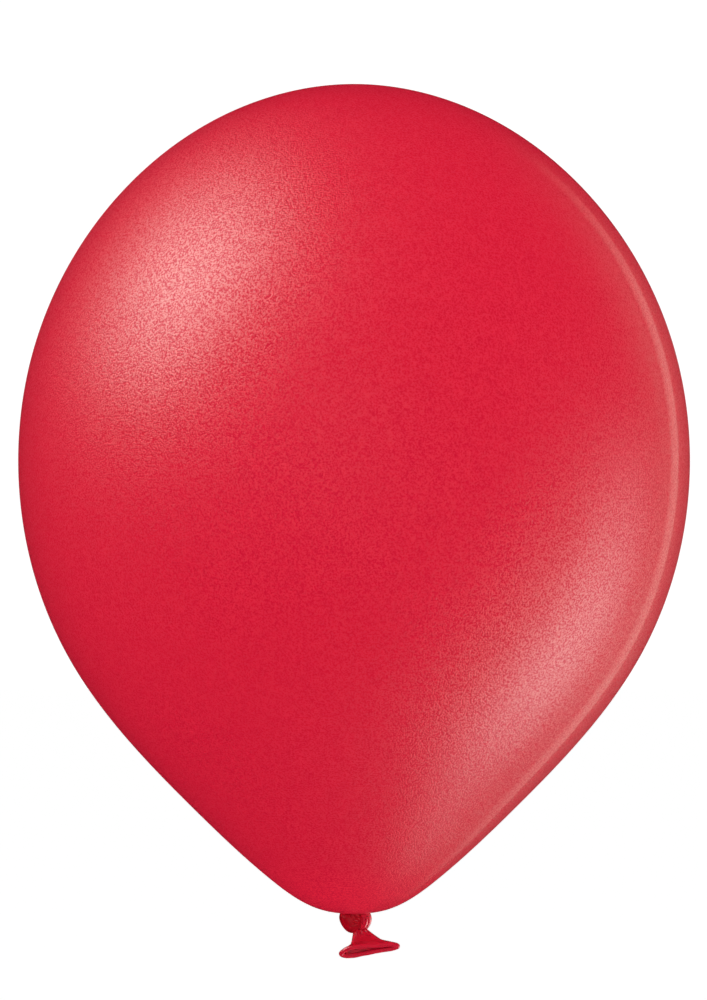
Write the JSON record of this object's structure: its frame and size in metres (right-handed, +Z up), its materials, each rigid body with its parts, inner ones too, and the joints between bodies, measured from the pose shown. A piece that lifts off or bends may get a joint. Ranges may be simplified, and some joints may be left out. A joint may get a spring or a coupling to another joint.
{
  "type": "latex balloon",
  "caption": "Inflated pear-shaped latex party balloon in pearlescent red, tied off with an overhand knot, with a short flared tail and a rolled lip.",
  "frame": {"origin": "the tie point: on the balloon's axis, in the middle of the gathered throat between the skin and the knot", "axes": "+Z up through the crown; +X to the right and -Y towards the side that the tail leans to; the mouth's long side runs near X"},
  "size_m": [0.3, 0.3, 0.3898],
  "materials": {
    "stretched_latex": "pearlescent crimson film, satin with a fine pigment grain and a soft gloss coat",
    "slack_latex": "unstretched crimson latex, deeper red, smooth satin gloss"
  },
  "bodies": {
    "balloon": {"skin": "stretched_latex", "throat": "slack_latex"},
    "knot": {"knot_core": "slack_latex", "knot_turn": "slack_latex"},
    "tail_root": {"tail_root": "slack_latex"},
    "tail": {"tail": "slack_latex", "lip": "slack_latex"}
  },
  "joints": [
    {"name": "knot_twist", "type": "hinge", "parent": "balloon", "child": "knot", "pos_m": [0, 0, 0], "axis": [0, 0, 1], "range_deg": [-180, 180], "stiffness_Nm_per_rad": 0.0002},
    {"name": "tail_flap", "type": "hinge", "parent": "knot", "child": "tail_root", "pos_m": [0.0028, -0.001, -0.0119], "axis": [0.9912, 0, 0.1323], "range_deg": [-25, 90], "stiffness_Nm_per_rad": 0.0005},
    {"name": "tail_sway", "type": "hinge", "parent": "tail_root", "child": "tail", "pos_m": [0.00399, -0.00358, -0.01395], "axis": [0.1009, 0.6463, -0.7564], "range_deg": [-20, 20], "stiffness_Nm_per_rad": 0.0005}
  ]
}
